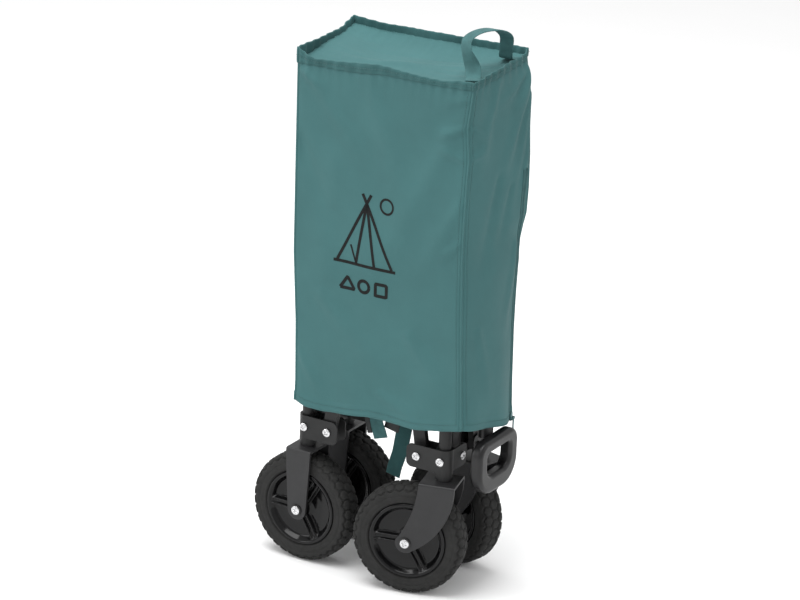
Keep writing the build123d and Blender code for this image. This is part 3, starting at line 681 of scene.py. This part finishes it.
def stitches(line, out, pitch=4.0, length=2.6, radius=0.45):
    """A run of stitches: a small closed spindle at every pitch along a line, its ends sunk in the cloth.
    Each is five rings of six points, made for all of them at once."""
    run = np.concatenate(((0,), np.cumsum(np.linalg.norm(np.diff(line, axis=0), axis=1))))
    at = np.arange(pitch / 2, run[-1] - length, pitch)
    centre = np.stack([np.interp(at, run, line[:, k]) for k in range(3)], -1)
    ahead = np.stack([np.interp(at + length / 2, run, line[:, k]) for k in range(3)], -1)
    outward = unit(np.stack([np.interp(at, run, out[:, k]) for k in range(3)], -1))
    along = unit(ahead - centre)
    across = unit(np.cross(along, outward))
    ring = np.linspace(0, 2 * np.pi, 6, endpoint=False)
    spots = np.linspace(-1, 1, 5)
    size = radius * np.sqrt(1 - spots**2)
    grid = (centre[:, None, None] + along[:, None, None] * (spots * length / 2)[None, :, None, None]
            + across[:, None, None] * (size[:, None] * np.cos(ring))[None, ..., None]
            + outward[:, None, None] * (size[:, None] * np.sin(ring) + 0.1)[None, ..., None])
    return [(stitch, False, True) for stitch in grid]


sewing = []
binding_middle = seam_line + seam_out * 1.95
binding_middle = binding_middle + np.array((0, 0, 1.0)) * (0.45 * (standing - seam_line[:, 2]))[:, None]
binding_middle = binding_middle + seam_out * (lean[:, 0] * 0.5)[:, None] + seam_out * 0.4
binding_loop = np.concatenate((binding_middle, binding_middle[:1]))
sewing += stitches(binding_loop, np.concatenate((seam_out, seam_out[:1])))
for side in range(4):
    share = np.linspace(0.01, 0.99, 90)
    foot, _ = on_wall(side, share, 0.0)
    line, out = on_wall(side, share, foot[:, 2] + 10.0, 0.3)
    sewing += stitches(line, out)
for side, share in ((0, 0.972), (1, 0.05)):
    line, out = on_wall(side, share, np.linspace(282, 780, 130), 0.2)
    sewing += stitches(line, out)
cover_stitches = surface("cover_stitches", sewing, thread_cloth, "cover")
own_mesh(cover_stitches)

# ---- Printed mark ------------------------------------------------------------------------
# Black ink on the right panel: a plain line drawing of a tent under the sun, with three small
# plain shapes below it.
ink = finish("black_print", (0.010, 0.011, 0.011), 0.7, specular=0.15)
mottle(ink, 150.0, 0.25)
relief(ink, texture(ink, "ShaderNodeTexNoise", Scale=800.0), 0.2, 0.0001)


def stroke(points, wide=4.6):
    """A flat ribbon along a polyline in (x, height) on the right panel: its two edges, laid on the cloth."""
    points = np.array(points, float)
    run = np.concatenate(((0,), np.cumsum(np.hypot(*np.diff(points, axis=0).T))))
    at = np.linspace(0, run[-1], max(int(run[-1] / 2.0), 4))
    line = np.stack([np.interp(at, run, points[:, k]) for k in range(2)], -1)
    heading = unit(np.gradient(line, axis=0))
    side = np.stack((-heading[:, 1], heading[:, 0]), -1) * wide / 2
    edges = np.stack([line + side * k for k in (-1, -0.33, 0.33, 1)], 1)
    rear, near = read(rear_table, edges[..., 1]), read(near_table, edges[..., 1])
    grid, _ = on_wall(0, (edges[..., 0] - rear) / (near - rear), edges[..., 1], 0.25)
    return grid, False, False


circle = np.linspace(0, 2 * np.pi, 49)
drawing = [
    stroke([(-46, 494), (0, 586), (46, 494)]), stroke([(-7, 600), (0, 586), (7, 600)]),
    stroke([(-52, 492), (52, 492)]), stroke([(0, 586), (-14, 494)]), stroke([(0, 586), (17, 494)]),
    stroke([(-14, 494), (-24, 520)], 3.0),
    stroke(np.stack((34 + 11 * np.cos(circle), 588 + 11 * np.sin(circle)), -1), 3.4),
    stroke([(-40, 452), (-28, 470), (-16, 452), (-40, 452)], 5.0),
    stroke(np.stack((0 + 9 * np.cos(circle), 460 + 9 * np.sin(circle)), -1), 5.0),
    stroke([(20, 451), (38, 451), (38, 469), (20, 469), (20, 449)], 5.0),
]
print_mark = surface("print_mark", drawing, ink, "cover", closed=False)
if print_mark.data.polygons[0].normal.y > 0:
    print_mark.data.flip_normals()
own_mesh(print_mark)

# ---- Zip ---------------------------------------------------------------------------------
# Woven tape with a nylon coil down the middle, sewn on the handle end's left edge; a die-cast
# slider at its foot, with a flat pull that has a hole for a cord.
zip_cloth = finish("zip_tape", (0.040, 0.108, 0.110), 0.75, sheen=0.05, specular=0.2)
mottle(zip_cloth, 90.0, 0.1)
relief(zip_cloth, texture(zip_cloth, "ShaderNodeTexWave", "UV", Scale=260.0), 0.3, 0.00015)
zip_share = (58.9 + 76.0) / 152.0
zip_heights = np.linspace(263, 639, 960)[:, None]
zip_across = np.concatenate((np.linspace(-7, -2.6, 4), np.linspace(-2.1, 2.1, 9), np.linspace(2.6, 7, 4)))
zip_across = zip_across[None, :]
teeth = 0.45 * np.sin(2 * np.pi * zip_heights / 1.6 + np.where(zip_across > 0, np.pi, 0.0))
coil = (1.5 + teeth) * ease((2.5 - np.abs(zip_across)) / 0.9) - 0.8 * np.exp(-(zip_across / 0.35) ** 2)
tape, tape_out = on_wall(1, zip_share + zip_across / 152.0, zip_heights, 0.5)
tape = tape + tape_out * coil[..., None]
tape_uv = np.stack(np.broadcast_arrays(zip_across * 0.001, zip_heights * 0.001), -1)
zip_strip = surface("zip_strip", [(tape, False, False, tape_uv)], zip_cloth, "cover",
                    closed=False)
if zip_strip.data.polygons[0].normal.x < 0:
    zip_strip.data.flip_normals()
thick = zip_strip.modifiers.new("tape_thickness", "SOLIDIFY")
thick.thickness = 0.0004
thick.offset = -1.0
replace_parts(zip_strip, "zip_tape")
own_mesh(zip_strip)

zip_metal = finish("zip_enamel", (0.065, 0.150, 0.155), 0.32, metallic=0.2, coat=0.3)
mottle(zip_metal, 250.0, 0.2)
relief(zip_metal, texture(zip_metal, "ShaderNodeTexNoise", Scale=900.0), 0.2, 0.0001)
panel_along = unit(np.array((-13.0, 52.0, 0.0)))
panel_out = np.array((panel_along[1], -panel_along[0], 0.0))
zip_foot = np.array((183.0, 24.0, 0.0)) + panel_along * 36.0


def pillow(centre, half_along, half_out, half_up, power=0.45):
    """A closed pillow in the panel's directions: a sphere with its sines and cosines raised to a power."""
    turn = np.linspace(-np.pi, np.pi, 40, endpoint=False)[None, :]
    tilt = np.linspace(-np.pi / 2, np.pi / 2, 21)[:, None]

    def curve(v):
        return np.sign(v) * np.abs(v) ** power

    a = curve(np.cos(tilt)) * curve(np.cos(turn))
    o = curve(np.cos(tilt)) * curve(np.sin(turn))
    u = curve(np.sin(tilt))
    a = a * (1 - 0.12 * u)
    u = np.broadcast_to(u, a.shape)
    return (centre + (a * half_along)[..., None] * panel_along + (o * half_out)[..., None] * panel_out
            + (u * half_up)[..., None] * np.array((0.0, 0.0, 1.0))), False, True


tab_pivot = zip_foot + panel_out * 7.0 + (0, 0, 253.0)
slider_parts = [pillow(zip_foot + panel_out * 3.2 + (0, 0, 255.5), 4.6, 1.9, 6.5),
                pillow(zip_foot + panel_out * 6.2 + panel_along * 4.05 + (0, 0, 253), 0.5, 2.0, 2.0),
                pillow(zip_foot + panel_out * 6.2 - panel_along * 4.05 + (0, 0, 253), 0.5, 2.0, 2.0),
                shank(tab_pivot - panel_along * 4.3, tab_pivot + panel_along * 4.3, 0.9)]
slider = surface("zip_slider_body", slider_parts, zip_metal, "zip")
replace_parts(slider, "zip_slider")
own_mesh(slider)

# The pull is a rounded plate with a hole: an outer and an inner ring on each face, joined all round.
turn = np.linspace(0, 2 * np.pi, 64, endpoint=False)
plate_a = 3.25 * np.sign(np.cos(turn)) * np.abs(np.cos(turn)) ** 0.5
plate_u = 12.6 * np.sign(np.sin(turn)) * np.abs(np.sin(turn)) ** 0.62
plate_a = plate_a * (1 - 0.18 * plate_u / 12.6)
hole_a, hole_u = 1.9 * np.cos(turn), -8.6 + 1.9 * np.sin(turn)
loop_a = np.stack((hole_a, 0.96 * plate_a, plate_a, 0.96 * plate_a, hole_a))
loop_u = np.stack((hole_u, 0.99 * plate_u, plate_u, 0.99 * plate_u, hole_u))
loop_o = np.array((-0.7, -0.7, 0.0, 0.7, 0.7))[:, None]
plate_centre = zip_foot + panel_out * 7.0 + (0, 0, 241.0)
plate = (plate_centre + loop_a[..., None] * panel_along + (loop_o + 0 * loop_a)[..., None] * panel_out
         + loop_u[..., None] * np.array((0.0, 0.0, 1.0)))
pull = surface("zip_pull_plate", [(plate, True, True), shank(tab_pivot - panel_along * 3.2,
               tab_pivot + panel_along * 3.2, 1.75)], zip_metal, "zip_tab")
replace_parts(pull, "zip_pull")
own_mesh(pull)

# ---- Carry strap -------------------------------------------------------------------------
# Ribbed webbing, 22 mm wide, both ends sewn flat on the cover's top at the handle end and the
# middle standing up as a loop.
webbing_cloth = finish("ribbed_webbing", (0.040, 0.112, 0.114), 0.75, sheen=0.05, specular=0.2)
mottle(webbing_cloth, 80.0, 0.12)
webbing_ribs = texture(webbing_cloth, "ShaderNodeTexWave", "UV", Scale=170.0, Distortion=0.3)
relief(webbing_cloth, webbing_ribs, 0.5, 0.0003)
relief(webbing_cloth, texture(webbing_cloth, "ShaderNodeTexNoise", Scale=600.0, Detail=3.0), 0.3, 0.0002)


def ribbon(path, across, wide, thick=2.0, samples=120):
    """Webbing carried along a path: a Catmull-Rom curve through the points, with a rounded flat section of
    a given width set square to it; each end closes on its middle. Gives the patch and the length."""
    path, across = np.array(path, float), np.array(across, float)
    both = np.concatenate((path, across), 1)
    padded = np.concatenate((2 * both[:1] - both[1:2], both, 2 * both[-1:] - both[-2:-1]))
    at = np.linspace(0, len(path) - 1 - 1e-6, samples)
    k, u = at.astype(int), (at % 1)[:, None]
    p0, p1, p2, p3 = (padded[k + shift] for shift in range(4))
    curve = 0.5 * (2 * p1 + (p2 - p0) * u + (2 * p0 - 5 * p1 + 4 * p2 - p3) * u**2
                   + (3 * p1 - p0 - 3 * p2 + p3) * u**3)
    line = curve[:, :3]
    heading = unit(np.gradient(line, axis=0))
    wing = unit(curve[:, 3:] - (curve[:, 3:] * heading).sum(-1, keepdims=True) * heading)
    face = np.cross(heading, wing)
    ring = np.linspace(0, 2 * np.pi, 16, endpoint=False)[None, :, None]
    flat = np.sign(np.cos(ring)) * np.abs(np.cos(ring)) ** 0.35 * wide / 2
    deep = np.sign(np.sin(ring)) * np.abs(np.sin(ring)) ** 0.6 * thick / 2
    grid = line[:, None] + wing[:, None] * flat + face[:, None] * deep
    run = np.concatenate(((0,), np.cumsum(np.linalg.norm(np.diff(line, axis=0), axis=1))))
    ends = [np.broadcast_to(line[k], grid[:1].shape) for k in (0, -1)]
    grid = np.concatenate((ends[0], grid, ends[1]))
    run_uv = np.concatenate(((0,), run, run[-1:]))[:, None] * 0.001
    uv = np.stack(np.broadcast_arrays(run_uv, np.linspace(0, 0.05, 17)[None, :]), -1)
    return (grid, False, True, uv), run[-1]


strap_path = ((158, -66, 794), (152, -54, 795), (145, -44, 806), (132, -40, 827), (127, -28, 842),
              (134, -6, 849), (145, 20, 847), (151, 38, 835), (150, 41, 816), (149, 43, 803),
              (148, 52, 799), (147, 62, 799))
strap_wings = ((1, 0.4, 0), (1, 0.4, 0), (0.9, 0.3, 0.1), (0.8, -0.3, 0.4), (0.9, -0.2, 0.2), (1, -0.2, 0.1),
               (1, 0.1, 0), (1, 0.1, 0), (1, 0, 0), (1, 0, 0), (1, 0, 0), (1, 0, 0))
strap_patch, strap_length = ribbon(strap_path, strap_wings, 22.0)
carry = surface("carry_loop", [strap_patch], webbing_cloth, "cover")
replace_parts(carry, "carry_strap")
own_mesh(carry)

# ---- Folded cargo bag --------------------------------------------------------------------
# The wagon's coated-polyester bag, folded into upright pleats between the frames, with its
# webbing ends hanging out at the foot.
bag_cloth = finish("bag_coated_polyester", (0.036, 0.098, 0.100), 0.6, sheen=0.05, specular=0.3)
mottle(bag_cloth, 18.0, 0.1)
relief(bag_cloth, texture(bag_cloth, "ShaderNodeTexNoise", Scale=40.0, Detail=5.0), 0.5, 0.002)
relief(bag_cloth, texture(bag_cloth, "ShaderNodeTexNoise", Scale=900.0), 0.2, 0.0001)
turn = np.linspace(0, 2 * np.pi, 360, endpoint=False)[None, :]
rise = np.linspace(-1, 1, 150)[:, None]
round_off = np.sqrt(np.maximum(1 - np.abs(rise) ** 10, 0.0))
long_way = np.sign(np.cos(turn)) * np.abs(np.cos(turn)) ** 0.35
short_way = np.sign(np.sin(turn)) * np.abs(np.sin(turn)) ** 0.35
pleats = 1 - 0.16 * np.abs(np.sin(np.pi * 3.0 * short_way)) ** 0.5 * ease((np.abs(long_way) - 0.7) / 0.25)
crumple = 1 + 0.035 * np.sin(5 * rise + 3 * long_way) + 0.02 * np.sin(17 * rise - 4 * long_way) \
    - 0.05 * np.exp(-((rise + 0.35 * long_way) / 0.08) ** 2)
bag_points = np.stack(np.broadcast_arrays(15 + 93 * long_way * pleats * round_off,
                                          36 * short_way * crumple * (0.3 + 0.7 * round_off) * 0.97,
                                          495 + 217 * rise + 0 * turn), -1).copy()
bag_points[0] = bag_points[0].mean(0)
bag_points[-1] = bag_points[-1].mean(0)
bag = surface("folded_cargo_bag", [(bag_points, False, True)], bag_cloth, "bag")
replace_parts(bag, "cargo_bag")

dark_webbing = finish("black_webbing", (0.016, 0.018, 0.019), 0.75, sheen=0.1)
mottle(dark_webbing, 80.0, 0.15)
dark_ribs = texture(dark_webbing, "ShaderNodeTexWave", "UV", Scale=170.0, Distortion=0.3)
relief(dark_webbing, dark_ribs, 0.5, 0.0003)
hanging = (
    ("webbing_short", webbing_cloth, 26,
     ((2, -33, 290), (1, -34, 262), (3, -36, 240), (9, -36, 224), (13, -36, 213)),
     ((1, 0, 0.1), (1, 0, 0.1), (1, -0.1, 0.2), (1, -0.1, 0.3), (1, -0.1, 0.3))),
    ("webbing_flap", dark_webbing, 24, ((36, -30, 290), (35, -31, 262), (31, -32, 243), (27, -31, 228)),
     ((1, 0.1, 0), (1, 0.1, 0), (1, 0.1, -0.2), (1, 0.1, -0.2))),
    ("webbing_strip", dark_webbing, 8, ((-14, -34, 286), (-14, -35, 258), (-11, -36, 236), (-6, -36, 217)),
     ((1, 0, 0), (1, 0, 0), (1, 0, 0.2), (1, 0, 0.3))),
    ("webbing_long", binding_cloth, 24,
     ((34, 8, 290), (31, 8, 250), (27, 6, 212), (22, 5, 180), (15, 5, 156), (11, 6, 139)),
     ((0.7, 0.6, 0), (0.8, 0.5, 0), (0.9, 0.3, 0), (1, 0.1, 0.2), (1, 0, 0.25), (1, 0, 0.3))),
)
straps = []
for name, cloth, wide, path, wings in hanging:
    patch, length = ribbon(path, wings, wide, 1.8, 60)
    strap = surface(name, [patch], cloth, "bag")
    straps.append(strap)
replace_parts(straps[0], "bag_webbing")
